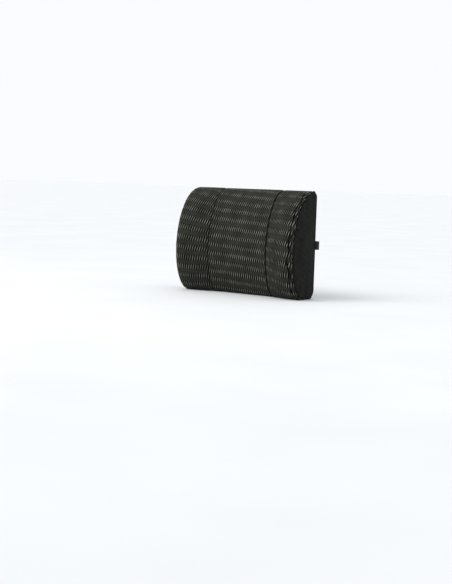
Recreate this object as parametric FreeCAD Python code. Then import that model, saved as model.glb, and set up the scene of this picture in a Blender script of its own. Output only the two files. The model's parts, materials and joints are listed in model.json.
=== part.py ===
"""Lumbar support cushion: a foam core in a zipped mesh cover, with an elastic strap and buckle behind it.

Frame, in millimetres: X runs across the width, -Y is the crowned front that the sitter leans on, +Y is the
flat back and the strap, and +Z is up. The origin is at the bottom centre of the whole object's box.

The foam is moulded with a D-shaped side profile that is fullest below its middle. Seen from above its front
is hollow in the middle and swells into a wing at each side. A knitted liner goes round the foam. The cover is
cut as three front panels, two end panels and two back panels, and the zip lies between the back panels.
The strap leaves the two back corners, and its halves meet in a side-release buckle.
"""

import math
import os

import FreeCAD
import Part

Vector = FreeCAD.Vector

# ---------------------------------------------------------------- driving dimensions of the cushion
WIDTH = 444.0  # across the two end panels
HEIGHT = 320.0
WING_DEPTH = 135.0  # front to back at the wings
CENTRE_DEPTH = 95.0  # front to back at the middle
CREST_HEIGHT = 130.0  # where the front stands out most
HOLLOW_HALF = 70.0  # half width of the level middle of the front
WING_CREST = 200.0  # where the wings reach their full depth
BASE_SHARE = 0.46  # the flat base runs this far forward, as a share of the depth
FRONT_ROUND = 26.0  # round between the front and the ends
END_ROUND = 12.0  # round between the ends and the top, the back and the base
TOP_RADIUS = 14.0  # round between the top and the back
BOTTOM_RADIUS = 24.0  # round between the base and the back
SEAM_X = 108.0  # the two seams of the front panels

COVER = 3.0  # thickness of the mesh cover
LINER_INSET = 5.2  # from the outside of the cover to the outside of the liner
LINER = 0.8
FOAM_INSET = 6.3
END_SEAM_X = 218.5  # the seams between the front and the end panels, most of the way round to the ends
BACK_LIP = 6.0  # the back panels turn this far round the corners, and the strap is sewn in at their edge

# ---------------------------------------------------------------- driving dimensions of the strap
STRAP_WIDTH = 25.0
STRAP = 1.6  # thickness of the elastic webbing
STRAP_HEIGHT = 160.0  # height of the strap's middle line
STRAP_GAP = 35.0  # from the back of the cover to the strap's middle line
TAB_END = 223.0  # the sewn-in ends of the strap reach this far out
STRAP_TURN = 5.0  # radius of the turn where the strap leaves the seam
STRAP_OUT = 228.3  # middle line of the strap where it turns round the corner
RUN_HALF = 122.0  # the strap runs straight between -RUN_HALF and +RUN_HALF
FIT = 0.3  # clearance between parts that slide or turn
BAR = 1.6  # radius of every bar that the webbing goes round
BAR_TURN = BAR + 0.2 + STRAP / 2  # radius of the webbing's middle line round such a bar
SIDE_BAR = 2.2  # thickness of the adjuster's side bars

REACH = STRAP_GAP + STRAP / 2 + FIT + SIDE_BAR  # how far the adjuster stands behind the cover
BACK_Y = (WING_DEPTH - REACH) / 2  # plane of the cover's flat back
RUN_Y = BACK_Y + STRAP_GAP  # plane of the strap's middle line
END_X = WIDTH / 2 - END_ROUND  # where the top, the back and the base start to round over
SWING_Y = BACK_Y - BACK_LIP  # the strap swings about this line, level with STRAP_HEIGHT

# ---------------------------------------------------------------- driving dimensions of the zip
ZIP_HEIGHT = 46.0
ZIP_HALF = 170.0  # half length of the coils
ZIP_SLOT = (172.0, 5.5)  # half length and half height of the slot between the back panels
COIL_GAP = 0.6  # from the zip's middle line to each coil
COIL_HEIGHT = 2.4  # height of each coil
COIL_TOP = 1.0  # from the back of the cover in to the coils
COIL_DEPTH = 2.6
TAPE = 0.7
TAPE_HEIGHT = 9.0
SLIDER_LENGTH = 11.0
SLIDER_X = 158.0  # the slider's middle when the zip is closed
SLIDER_TOP = 0.5  # the slider's outer plate stands this far behind the cover
BRIDGE = (2.2, 3.2)  # inner and outer half lengths of the bridge that holds the pull tab
PIN_RADIUS = 0.55
PIN_OUT = 1.35  # from the back of the cover to the pin
TAB_LENGTH = 27.0

# ---------------------------------------------------------------- driving dimensions of the buckle and adjuster
BUCKLE_MOUTH = -30.0  # X of the socket's mouth
BUCKLE_Y = RUN_Y - BAR_TURN  # middle plane of the buckle
BUCKLE_HALF = 17.0  # half of its size across the strap
BUCKLE_THICK = 4.9  # half thickness of the socket
CAVITY = (24.0, 14.8, 3.2)  # length, half width and half thickness inside the socket
WINDOW = (6.0, 19.0)  # the side windows, from the mouth
RAIL_IN = STRAP_WIDTH / 2 + 0.75  # inner face of the rails beside the webbing
SOCKET_END = 29.0  # from the mouth to the back wall's outside
SOCKET_BAR = 33.0  # from the mouth to the bar
PLUG_END = 8.0
PLUG_BAR = 11.7
PRONG_PIVOT = (2.4, 10.0)  # along and across the buckle, from the mouth's middle
PRONG_HALF = 2.0  # half thickness of the prongs
PRONG_BOSS = 1.4
ADJUSTER_X = 96.0
ADJUSTER_HALF = 11.0  # half length along the strap
ADJUSTER_BAR_Y = RUN_Y - STRAP - FIT - BAR_TURN + STRAP / 2 - 0.8
LOOP_START = 62.0  # the sewn end loop begins here

# ---------------------------------------------------------------- helpers
def box(x, y, z):
    """A block from three (low, high) pairs."""
    solid = Part.makeBox(x[1] - x[0], y[1] - y[0], z[1] - z[0])
    solid.translate(Vector(x[0], y[0], z[0]))
    return solid


def mirrored(shape):
    """The same shape on the other side of the middle plane."""
    return shape.mirror(Vector(0, 0, 0), Vector(1, 0, 0))


def line(a, b):
    return Part.LineSegment(a, b).toShape()


def arc_about(centre, start, end):
    """The short circular arc about centre, in the XY plane."""
    middle = (start - centre) + (end - centre)
    middle.normalize()
    return Part.Arc(start, centre + middle * (start - centre).Length, end).toShape()


def ribbon(points, radii, thickness=STRAP, width=STRAP_WIDTH, height=STRAP_HEIGHT):
    """Webbing on edge: straight runs through the points, a round of each radius at each inner point."""
    way = [Vector(x, y, height - width / 2) for x, y in points]
    ways = [(b - a).normalize() for a, b in zip(way, way[1:])]
    left, right = [], []
    sides = {1: left, -1: right}

    def shifted(point, heading, side):
        return point + Vector(-heading.y, heading.x, 0) * (side * thickness / 2)

    starts = {s: shifted(way[0], ways[0], s) for s in sides}
    for corner, into, out, radius in zip(way[1:-1], ways, ways[1:], radii):
        turn = math.acos(max(-1.0, min(1.0, into.dot(out))))
        hand = 1 if into.cross(out).z > 0 else -1
        reach = radius * math.tan(turn / 2)
        first, last = corner - into * reach, corner + out * reach
        centre = first + Vector(-into.y, into.x, 0) * (hand * radius)
        for s, edges in sides.items():
            a, b = shifted(first, into, s), shifted(last, out, s)
            if (a - starts[s]).Length > 1e-6:
                edges.append(line(starts[s], a))
            edges.append(arc_about(centre, a, b))
            starts[s] = b
    ends = {s: shifted(way[-1], ways[-1], s) for s in sides}
    for s, edges in sides.items():
        if (ends[s] - starts[s]).Length > 1e-6:
            edges.append(line(starts[s], ends[s]))
    caps = [
        line(shifted(way[0], ways[0], 1), shifted(way[0], ways[0], -1)),
        line(ends[1], ends[-1]),
    ]
    wire = Part.Wire(Part.__sortEdges__(left + right + caps))
    return Part.Face(wire).extrude(Vector(0, 0, width))


def save(name, shape):
    """Writes one named piece, made of one or more closed solids."""
    shape.exportStep(os.path.join("parts", name + ".step"))
    print(f"{name}: {len(shape.Solids)} solid(s), valid {shape.isValid()}, {shape.Volume / 1000:.2f} cm3")


# ---------------------------------------------------------------- the soft body
def depth_at(x):
    """Depth of the cushion: level in the middle, swelling into the wings."""
    share = (abs(x) - HOLLOW_HALF) / (WING_CREST - HOLLOW_HALF)
    share = max(0.0, min(1.0, share))
    return CENTRE_DEPTH + (WING_DEPTH - CENTRE_DEPTH) * (1 - math.cos(math.pi * share)) / 2


def rounded_off(x, inset, round_radius):
    """How far a round of the given radius at the end draws in a side at x, on a form drawn in by inset."""
    radius = round_radius - inset
    over = max(0.0, abs(x) - (WIDTH / 2 - round_radius))
    return radius - math.sqrt(max(0.0, radius**2 - over**2))


def section(x, inset):
    """The closed D profile at x, drawn in by inset all round, and by the rounds near the ends."""
    drawn = inset + rounded_off(x, inset, END_ROUND)
    back, top, bottom = drawn, HEIGHT - drawn, drawn
    depth = depth_at(x) - inset - rounded_off(x, inset, FRONT_ROUND)
    top_radius = TOP_RADIUS - 0.6 * drawn
    bottom_radius = BOTTOM_RADIUS - 0.7 * drawn
    base_front = BASE_SHARE * depth_at(x)

    def at(forward, z):
        return Vector(x, BACK_Y - forward, z)

    def corner(forward, z, radius, start, end):
        tip = Vector(0, math.sqrt(0.5) * radius, (1 if z > CREST_HEIGHT else -1) * math.sqrt(0.5) * radius)
        return Part.Arc(start, at(forward, z) + tip, end).toShape()

    def quarter(forward, tip_z):
        """From the top or the bottom round to the front."""
        centre = at(forward, CREST_HEIGHT)
        ellipse = Part.Ellipse(at(forward, tip_z), at(depth, CREST_HEIGHT), centre)
        return Part.ArcOfEllipse(ellipse, 0, math.pi / 2).toShape()

    low_back, high_back = at(back, bottom + bottom_radius), at(back, top - top_radius)
    ridge, base_rear = at(back + top_radius, top), at(back + bottom_radius, bottom)
    return Part.Wire([
        line(low_back, high_back),
        corner(back + top_radius, top - top_radius, top_radius, high_back, ridge),
        quarter(back + top_radius, top),
        quarter(base_front, bottom),
        line(at(base_front, bottom), base_rear),
        corner(back + bottom_radius, bottom + bottom_radius, bottom_radius, base_rear, low_back),
    ])


def body(inset):
    """The whole cushion's form, drawn in by inset all round: a level middle and a lofted wing at each side."""
    start, radius = WIDTH / 2 - FRONT_ROUND, FRONT_ROUND - inset
    stations = [HOLLOW_HALF, 80, 90, SEAM_X, 130, 150, 170, start]
    for degrees in (18, 34, 48, 60, 70, 80, 90):
        stations.append(start + radius * math.sin(math.radians(degrees)))
    wing = Part.makeLoft([section(x, inset) for x in stations], True, False)
    middle = Part.Face(section(-HOLLOW_HALF, inset)).extrude(Vector(2 * HOLLOW_HALF, 0, 0))
    return middle.fuse([wing, mirrored(wing)]).Solids[0]


def cover_shell():
    return body(0).cut(body(COVER))


def between(shape, x, behind):
    """What lies between two X values, in front of the back seam or behind it."""
    seam = BACK_Y - BACK_LIP
    return shape.common(box(x, (seam, 300) if behind else (-300, seam), (-100, 500)))


def zip_slot():
    half_length, half_height = ZIP_SLOT
    z = (ZIP_HEIGHT - half_height, ZIP_HEIGHT + half_height)
    return box((-half_length, half_length), (BACK_Y - 2 * COVER, BACK_Y + COVER), z)


# ---------------------------------------------------------------- the zip
def tape(side):
    """One tape, sewn behind its back panel. side is +1 for the upper one."""
    edge = COIL_GAP + COIL_HEIGHT
    z = sorted((ZIP_HEIGHT + side * edge, ZIP_HEIGHT + side * (edge + TAPE_HEIGHT)))
    return box((-ZIP_HALF - 2, ZIP_HALF + 2), (BACK_Y - COVER - TAPE, BACK_Y - COVER), z)


def coil(side):
    """One row of teeth, as the bar that its coil fills."""
    z = sorted((ZIP_HEIGHT + side * COIL_GAP, ZIP_HEIGHT + side * (COIL_GAP + COIL_HEIGHT)))
    row = box((-ZIP_HALF, ZIP_HALF), (BACK_Y - COIL_TOP - COIL_DEPTH, BACK_Y - COIL_TOP), z)
    return row.makeFillet(0.5, [e for e in row.Edges if e.Length > ZIP_HALF])


def crimp(x, reach):
    """A stop crimped round the coils between the two X values, over the heights in reach."""
    low, high = reach
    z = (ZIP_HEIGHT + low, ZIP_HEIGHT + high)
    block = box(x, (BACK_Y - COIL_TOP - COIL_DEPTH, BACK_Y - COIL_TOP + 0.5), z)
    block = block.makeFillet(0.4, [e for e in block.Edges if e.BoundBox.YMin > BACK_Y - COIL_TOP + 0.4])
    return block.cut(coil(1)).cut(coil(-1)).cut(tape(1)).cut(tape(-1))


def slider():
    """Two plates joined by a divider that parts the coils, flanges outside the coils, and a bridge."""
    top = BACK_Y + SLIDER_TOP
    narrow, wide = 3.9, 4.9
    half = SLIDER_LENGTH / 2
    outline = [(-half, narrow), (0.5, narrow), (2.5, wide), (half - 1.2, wide), (half, wide - 1.2)]
    outline += [(u, -w) for u, w in reversed(outline)]

    def plate(low, high, margin):
        points = [
            Vector(SLIDER_X + u, low, ZIP_HEIGHT + math.copysign(abs(w) - margin, w)) for u, w in outline
        ]
        return Part.Face(Part.makePolygon(points + points[:1])).extrude(Vector(0, high - low, 0))

    flange_low = BACK_Y - COVER + 0.5
    upper = plate(BACK_Y - COIL_TOP + FIT, top, 0)
    cup = plate(flange_low, top, 0)
    hollow = box(
        (SLIDER_X - half - 1, SLIDER_X + half + 1),
        (flange_low - 1, BACK_Y - COIL_TOP + FIT),
        (ZIP_HEIGHT - 3.3, ZIP_HEIGHT + 3.3),
    )
    lower = plate(BACK_Y - 4.8, BACK_Y - 4.0, 0.9)
    divider = box(
        (SLIDER_X + 1.5, SLIDER_X + half - 0.5),
        (BACK_Y - 4.8, top),
        (ZIP_HEIGHT - COIL_GAP + FIT, ZIP_HEIGHT + COIL_GAP - FIT),
    )
    inner, outer = BRIDGE
    under = BACK_Y + PIN_OUT + PIN_RADIUS + FIT
    arch = box((SLIDER_X - outer, SLIDER_X + outer), (top - 0.1, under + 0.8), (ZIP_HEIGHT - 1.2, ZIP_HEIGHT + 1.2))
    arch = arch.makeFillet(0.5, [e for e in arch.Edges if e.BoundBox.YMin > under + 0.7])
    eye = box((SLIDER_X - inner, SLIDER_X + inner), (top, under), (ZIP_HEIGHT - 2, ZIP_HEIGHT + 2))
    return upper.fuse([cup.cut(hollow), lower, divider, arch.cut(eye)]).removeSplitter()


def pull_tab():
    """A flat tab on a pin that passes under the slider's bridge. It lies along the zip."""
    y = (BACK_Y + PIN_OUT - PIN_RADIUS, BACK_Y + PIN_OUT + PIN_RADIUS)
    pin = Part.makeCylinder(PIN_RADIUS, 4.8, Vector(SLIDER_X, BACK_Y + PIN_OUT, ZIP_HEIGHT - 2.4))
    plate = box((SLIDER_X - TAB_LENGTH, SLIDER_X), y, (ZIP_HEIGHT - 2.4, ZIP_HEIGHT + 2.4))
    window = box((SLIDER_X - 5, SLIDER_X + 1), (y[0] - 1, y[1] + 1), (ZIP_HEIGHT - 1.6, ZIP_HEIGHT + 1.6))
    grip = box((SLIDER_X - TAB_LENGTH, SLIDER_X - 9), y, (ZIP_HEIGHT - 3.4, ZIP_HEIGHT + 3.4))
    hole = Part.makeCylinder(1.4, 4, Vector(SLIDER_X - TAB_LENGTH + 4, y[0] - 1, ZIP_HEIGHT), Vector(0, 1, 0))
    grip = grip.makeFillet(1.5, [e for e in grip.Edges if abs(e.tangentAt(e.FirstParameter).y) > 0.9])
    return pin.fuse([plate.cut(window), grip]).cut(hole).removeSplitter()


# ---------------------------------------------------------------- the strap
def sewn_end():
    """The end of the strap that the right corner seam holds."""
    z = (STRAP_HEIGHT - STRAP_WIDTH / 2, STRAP_HEIGHT + STRAP_WIDTH / 2)
    return box((END_X, TAB_END), (SWING_Y - STRAP / 2, SWING_Y + STRAP / 2), z).cut(body(0))


def corner_path():
    """From the right corner seam round to the straight run, with the radius at each turn."""
    start = (TAB_END + FIT, SWING_Y)
    return [start, (STRAP_OUT, SWING_Y), (STRAP_OUT, SWING_Y + 9), (RUN_HALF, RUN_Y)], [STRAP_TURN, STRAP_TURN]


def strap_right():
    """The right webbing, round the plug's bar."""
    points, radii = corner_path()
    bar = BUCKLE_MOUTH + PLUG_BAR
    turn, inner = bar - BAR_TURN, RUN_Y - 2 * BAR_TURN
    return ribbon(
        points + [(turn, RUN_Y), (turn, inner), (bar + 6, inner)],
        radii + [40.0, BAR_TURN, BAR_TURN],
    )


def strap_left():
    """The left webbing, round the socket's bar and sewn back on itself."""
    points, radii = corner_path()
    bar = BUCKLE_MOUTH - SOCKET_BAR
    turn, inner, sewn = bar + BAR_TURN, RUN_Y - 2 * BAR_TURN, RUN_Y - STRAP - 0.15
    tail = [(turn, RUN_Y), (turn, inner), (bar - 4, inner), (bar - 12, sewn), (bar - 30, sewn)]
    return ribbon(
        [(-x, y) for x, y in points] + tail,
        radii + [40.0, BAR_TURN, BAR_TURN, 6.0, 6.0],
    )


def strap_return():
    """The right webbing's second layer, from the plug to the sewn loop."""
    inner = RUN_Y - 2 * BAR_TURN
    return ribbon([(BUCKLE_MOUTH + PLUG_BAR + 6, inner), (LOOP_START - FIT, inner)], [])


def end_loop():
    """The webbing's end, sewn round the adjuster's middle bar."""
    inner, sewn = RUN_Y - 2 * BAR_TURN, RUN_Y - 2 * BAR_TURN + STRAP + 0.15
    near, far = ADJUSTER_BAR_Y - BAR_TURN, ADJUSTER_BAR_Y + BAR_TURN
    turn = ADJUSTER_X + BAR_TURN
    points = [(LOOP_START, inner), (LOOP_START + 18, inner), (LOOP_START + 26, near), (turn, near)]
    points += [(turn, far), (LOOP_START + 26, far), (LOOP_START + 18, sewn), (LOOP_START + 4, sewn)]
    return ribbon(points, [6.0, 6.0, BAR_TURN, BAR_TURN, 6.0, 6.0])


def upright_bar(x, y):
    """A round bar across the strap, ending inside the rails."""
    reach = RAIL_IN + 1.5
    return Part.makeCylinder(BAR, 2 * reach, Vector(x, y, STRAP_HEIGHT - reach))


def across(x, y, z):
    """A block from ranges along X, and about the buckle's middle plane and the strap's middle height."""
    return box(x, (BUCKLE_Y + y[0], BUCKLE_Y + y[1]), (STRAP_HEIGHT + z[0], STRAP_HEIGHT + z[1]))


def rails(x, y, outer):
    """A pair of blocks beside the webbing."""
    return [across(x, y, (RAIL_IN, outer)), across(x, y, (-outer, -RAIL_IN))]


def rounded(block, radius, axis):
    """Rounds the edges of a block that run along one axis, 0 for X, 1 for Y, 2 for Z."""
    return block.makeFillet(radius, [e for e in block.Edges if abs(e.tangentAt(e.FirstParameter)[axis]) > 0.9])


def buckle_socket():
    """A flat box, open at its mouth, with side windows and a bar for the webbing."""
    end, bar = BUCKLE_MOUTH - SOCKET_END, BUCKLE_MOUTH - SOCKET_BAR
    thick = (-BUCKLE_THICK, BUCKLE_THICK)
    shell = rounded(across((end, BUCKLE_MOUTH), thick, (-BUCKLE_HALF, BUCKLE_HALF)), 2.4, 0)
    length, half, cavity_thick = CAVITY
    cavity = across((BUCKLE_MOUTH - length, BUCKLE_MOUTH + 1), (-cavity_thick, cavity_thick), (-half, half))
    near, far = WINDOW
    windows = across((BUCKLE_MOUTH - far, BUCKLE_MOUTH - near), (-cavity_thick, cavity_thick), (-20, 20))
    sides = [rounded(r, 1.2, 0) for r in rails((bar - 2.2, end + 1), (-3.0, 3.0), BUCKLE_HALF - 0.8)]
    return shell.cut([cavity, windows]).fuse(sides + [upright_bar(bar, BUCKLE_Y)]).removeSplitter()


def buckle_plug():
    """A base with a bar for the webbing, a middle tongue, and two pockets that the prongs pivot in."""
    end, bar = BUCKLE_MOUTH + PLUG_END, BUCKLE_MOUTH + PLUG_BAR
    base = rounded(across((BUCKLE_MOUTH + FIT, end), (-3.9, 3.9), (-BUCKLE_HALF, BUCKLE_HALF)), 1.6, 0)
    tongue = rounded(across((BUCKLE_MOUTH - 20, BUCKLE_MOUTH + 1), (-2.0, 2.0), (-2.5, 2.5)), 0.8, 0)
    sides = [rounded(r, 1.2, 0) for r in rails((end - 1, bar + 2.6), (-3.0, 3.0), BUCKLE_HALF - 0.8)]
    along, out = PRONG_PIVOT
    pockets = []
    for side in (1, -1):
        middle = Vector(BUCKLE_MOUTH + along, BUCKLE_Y - PRONG_HALF - FIT, STRAP_HEIGHT + side * out)
        pockets.append(Part.makeCylinder(PRONG_BOSS + FIT, 2 * (PRONG_HALF + FIT), middle, Vector(0, 1, 0)))
        reach = sorted((side * (out - 2.4), side * (out + PRONG_BOSS + FIT)))
        pockets.append(across((BUCKLE_MOUTH, BUCKLE_MOUTH + along), (-2.3, 2.3), reach))
    return base.fuse([tongue] + sides + [upright_bar(bar, BUCKLE_Y)]).cut(pockets).removeSplitter()


def buckle_prong(side):
    """An arm from its pivot in the plug to a head that stands in the socket's side window."""
    along, out = PRONG_PIVOT
    y = BUCKLE_Y - PRONG_HALF
    catch = -WINDOW[0] - 0.5

    def at(u, w):
        return Vector(BUCKLE_MOUTH + u, y, STRAP_HEIGHT + side * w)

    outer, inner = out + PRONG_BOSS, out - PRONG_BOSS
    edges = [
        line(at(along, inner), at(-22, inner)),
        Part.Arc(at(-22, inner), at(-22.9, inner + 1.3), at(-22, inner + 2.8)).toShape(),
        Part.Arc(at(-22, inner + 2.8), at(-15.5, 14.9), at(catch - 1, 16.4)).toShape(),
        Part.Arc(at(catch - 1, 16.4), at(catch - 0.2, 16.2), at(catch, 15.5)).toShape(),
        line(at(catch, 15.5), at(catch, outer)),
        line(at(catch, outer), at(along, outer)),
        line(at(along, outer), at(along, inner)),
    ]
    arm = Part.Face(Part.Wire(edges)).extrude(Vector(0, 2 * PRONG_HALF, 0))
    boss = Part.makeCylinder(PRONG_BOSS, 2 * PRONG_HALF, at(along, out), Vector(0, 1, 0))
    return arm.fuse(boss).removeSplitter()


def adjuster():
    """Two rails, an inner middle bar that holds the loop, and two outer bars that the strap slides under."""
    outside = RUN_Y + STRAP / 2 + FIT
    x = (ADJUSTER_X - ADJUSTER_HALF, ADJUSTER_X + ADJUSTER_HALF)
    y = (ADJUSTER_BAR_Y - BAR - 0.4, outside + SIDE_BAR)
    outer = RAIL_IN + 3.0
    parts = []
    for side in (1, -1):
        z = sorted((STRAP_HEIGHT + side * RAIL_IN, STRAP_HEIGHT + side * outer))
        parts.append(rounded(box(x, y, z), 2.5, 2))
    for low in (x[0], x[1] - 3.4):
        z = (STRAP_HEIGHT - RAIL_IN - 1, STRAP_HEIGHT + RAIL_IN + 1)
        parts.append(rounded(box((low + 0.3, low + 3.1), (outside, outside + SIDE_BAR - 0.1), z), 0.7, 2))
    bar = upright_bar(ADJUSTER_X, ADJUSTER_BAR_Y)
    return bar.fuse(parts).removeSplitter()


def care_label():
    """A blank woven label, sewn flat below the zip."""
    return box((-60, -30), (BACK_Y, BACK_Y + 0.5), (26, 38))


def main():
    os.makedirs("parts", exist_ok=True)
    shell = cover_shell()
    tray = between(shell, (-300, 300), True).cut(zip_slot())
    right = between(shell, (SEAM_X, END_SEAM_X), False)
    end = between(shell, (END_SEAM_X, 300), False)
    strap_end = sewn_end()
    pieces = {
        "foam_core": body(FOAM_INSET),
        "inner_liner": body(LINER_INSET).cut(body(LINER_INSET + LINER)),
        "front_centre_panel": between(shell, (-SEAM_X, SEAM_X), False),
        "front_left_panel": mirrored(right),
        "front_right_panel": right,
        "left_end_panel": mirrored(end),
        "right_end_panel": end,
        "back_upper_panel": tray.common(box((-300, 300), (-300, 300), (ZIP_HEIGHT, 400))),
        "back_lower_panel": tray.common(box((-300, 300), (-300, 300), (-100, ZIP_HEIGHT))),
        "zip_upper_tape": tape(1),
        "zip_lower_tape": tape(-1),
        "zip_upper_coil": coil(1),
        "zip_lower_coil": coil(-1),
        "zip_top_stops": Part.makeCompound([
            crimp((ZIP_HALF - 5, ZIP_HALF - 2), (0.2, 3.8)),
            crimp((ZIP_HALF - 5, ZIP_HALF - 2), (-3.8, -0.2)),
        ]),
        "zip_bottom_stop": crimp((-ZIP_HALF + 0.5, -ZIP_HALF + 3.5), (-3.8, 3.8)),
        "zip_slider": slider(),
        "zip_pull_tab": pull_tab(),
        "strap_left_sewn_end": mirrored(strap_end),
        "strap_right_sewn_end": strap_end,
        "strap_left": strap_left(),
        "strap_right": strap_right(),
        "strap_return": strap_return(),
        "strap_end_loop": end_loop(),
        "strap_adjuster": adjuster(),
        "buckle_socket": buckle_socket(),
        "buckle_plug": buckle_plug(),
        "buckle_upper_prong": buckle_prong(1),
        "buckle_lower_prong": buckle_prong(-1),
        "care_label": care_label(),
    }
    for name, shape in pieces.items():
        save(name, shape)


if __name__ == "__main__":
    main()
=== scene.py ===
"""Lumbar support cushion: a padded mesh cover, its zip, an elastic strap with a buckle, and a plain studio.

The cover is grown from the same D-shaped profile as the CAD model, settled as cloth under a little pressure
between its pinned seams, and then given its ribs, creases and puckers. Everything is in metres, in the CAD
model's frame.
"""

import json
import math

import bmesh
import bpy
import numpy as np
from mathutils import Matrix, Vector

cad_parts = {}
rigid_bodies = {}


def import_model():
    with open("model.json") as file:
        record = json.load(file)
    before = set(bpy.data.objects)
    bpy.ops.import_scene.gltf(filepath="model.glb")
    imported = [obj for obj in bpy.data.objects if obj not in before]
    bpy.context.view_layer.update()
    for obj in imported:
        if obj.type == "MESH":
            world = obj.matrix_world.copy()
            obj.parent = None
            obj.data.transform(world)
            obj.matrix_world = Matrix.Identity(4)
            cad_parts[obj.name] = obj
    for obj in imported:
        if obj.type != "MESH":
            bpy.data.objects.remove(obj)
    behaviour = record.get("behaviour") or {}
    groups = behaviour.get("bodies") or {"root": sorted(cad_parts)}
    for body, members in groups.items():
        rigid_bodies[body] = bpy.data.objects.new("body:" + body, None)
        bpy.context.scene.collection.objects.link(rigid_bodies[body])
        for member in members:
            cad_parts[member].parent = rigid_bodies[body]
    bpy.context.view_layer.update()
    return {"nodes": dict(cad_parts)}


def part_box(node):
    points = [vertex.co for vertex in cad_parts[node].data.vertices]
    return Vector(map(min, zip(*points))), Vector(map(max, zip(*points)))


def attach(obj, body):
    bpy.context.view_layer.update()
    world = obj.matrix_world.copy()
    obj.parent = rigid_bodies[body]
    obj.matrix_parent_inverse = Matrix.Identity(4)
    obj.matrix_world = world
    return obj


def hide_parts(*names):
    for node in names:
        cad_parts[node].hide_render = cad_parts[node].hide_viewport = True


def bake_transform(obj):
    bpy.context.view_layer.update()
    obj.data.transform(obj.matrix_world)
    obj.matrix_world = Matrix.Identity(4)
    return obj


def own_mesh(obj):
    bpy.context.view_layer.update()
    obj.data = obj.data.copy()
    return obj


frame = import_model()

bl_info = {
    "name": "Lumbar cushion",
    "version": (1, 0, 0),
    "blender": (4, 5, 0),
    "location": "View3D > Sidebar > Cushion",
    "description": "Builds a strapped lumbar cushion round its CAD frame",
    "category": "Object",
}

MM = 0.001

# ---------------------------------------------------------------- sizes read from the frame
SEAM_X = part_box("front_centre_panel")[1][0]
END_SEAM_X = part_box("front_right_panel")[1][0]
END_FACE_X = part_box("right_end_panel")[1][0]
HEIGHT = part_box("front_centre_panel")[1][2]
BACK_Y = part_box("back_upper_panel")[1][1] - 0.1 * MM
WING_DEPTH = BACK_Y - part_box("front_right_panel")[0][1]
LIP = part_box("back_upper_panel")[1][1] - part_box("back_upper_panel")[0][1]
ZIP_Z = (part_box("zip_upper_coil")[1][2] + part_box("zip_lower_coil")[0][2]) / 2
ZIP_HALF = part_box("zip_upper_coil")[1][0]
STRAP_Z = (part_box("strap_right")[0][2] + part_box("strap_right")[1][2]) / 2
STRAP_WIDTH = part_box("strap_right")[1][2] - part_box("strap_right")[0][2]
STRAP_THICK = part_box("strap_return")[1][1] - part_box("strap_return")[0][1]
RUN_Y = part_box("strap_right")[1][1] - STRAP_THICK / 2
INNER_Y = (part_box("strap_return")[0][1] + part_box("strap_return")[1][1]) / 2
BAR_TURN = (RUN_Y - INNER_Y) / 2
SWING_Y = (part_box("strap_right_sewn_end")[0][1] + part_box("strap_right_sewn_end")[1][1]) / 2
STRAP_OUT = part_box("strap_right")[1][0] - STRAP_THICK / 2
TAIL_Y = RUN_Y - STRAP_THICK - 0.15 * MM
RUN_START = 122 * MM  # the strap runs straight between here and the same place on the left

# ---------------------------------------------------------------- the cushion's form, as in the CAD model
FRONT_ROUND = 26 * MM  # round between the front and the ends
END_ROUND = 12 * MM  # round between the ends and the top, the back and the base
TOP_RADIUS = 14 * MM
BOTTOM_RADIUS = 24 * MM
CREST_Z = 130 * MM
BASE_SHARE = 0.46
HOLLOW_HALF = 70 * MM
WING_CREST = 200 * MM
END_X = END_FACE_X - END_ROUND
FRONT_END_X = END_FACE_X - FRONT_ROUND
TOP_SEAM = math.acos((TOP_RADIUS - LIP) / TOP_RADIUS)
BOTTOM_SEAM = math.asin((BOTTOM_RADIUS - LIP) / BOTTOM_RADIUS)
SEAM_TURN = math.asin((END_SEAM_X - END_X) / END_ROUND)
BACK_TURN = math.acos((END_ROUND - LIP) / END_ROUND)
SEAM_RUN = FRONT_END_X + FRONT_ROUND * math.asin((END_SEAM_X - FRONT_END_X) / FRONT_ROUND)

# ---------------------------------------------------------------- how finely the cover is cut
FRONT_ROWS = 62
BACK_ROWS = 30
CREASE_IN = 14 * MM  # from the right end seam to the crease that its allowance makes
NARROW_CREASE_IN = 6 * MM  # the same at the left end, where the cover is pulled tighter
ALLOWANCE = 4 * MM  # how deep the seam allowances turn in
REST_GAP = 0.2 * MM  # the cover lies flat this far above what the cushion stands on


# ---------------------------------------------------------------- settings
def length(name, description, default):
    return bpy.props.FloatProperty(name=name, description=description, default=default, unit="LENGTH")


def turning(name, description, degrees):
    angle = math.radians(degrees)
    return bpy.props.FloatProperty(name=name, description=description, default=angle, unit="ROTATION")


class CoverSettings(bpy.types.PropertyGroup):
    """Sizes of the mesh cover."""

    centre_depth: length("Centre depth", "Depth of the cushion at its middle", 95 * MM)
    rib_pitch: length("Rib pitch", "Spacing of the mesh ribs across the front", 7.4 * MM)
    band_pitch: length("Band pitch", "Height of one ribbed and one plain band", 27.8 * MM)
    band_share: bpy.props.FloatProperty(
        name="Ribbed share", description="Share of each band that is ribbed", default=0.68, subtype="FACTOR"
    )
    rib_height: length("Rib height", "How far the ribs stand up", 1.9 * MM)
    settle: length("Settling", "How far the cloth may move off the foam", 5 * MM)


class StrapSettings(bpy.types.PropertyGroup):
    """Sizes of the zip's and the strap's details."""

    tooth_pitch: length("Tooth pitch", "Spacing of the zip's coil turns", 1.6 * MM)
    stitch: length("Stitch", "Length of one stitch of sewing thread", 2.6 * MM)


class StageSettings(bpy.types.PropertyGroup):
    """The camera's place."""

    azimuth: turning("Azimuth", "Camera's turn from the front", 35.6)
    elevation: turning("Elevation", "Camera's height angle", 3.0)
    distance: length("Distance", "From the camera to the cushion", 3.7)


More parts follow.
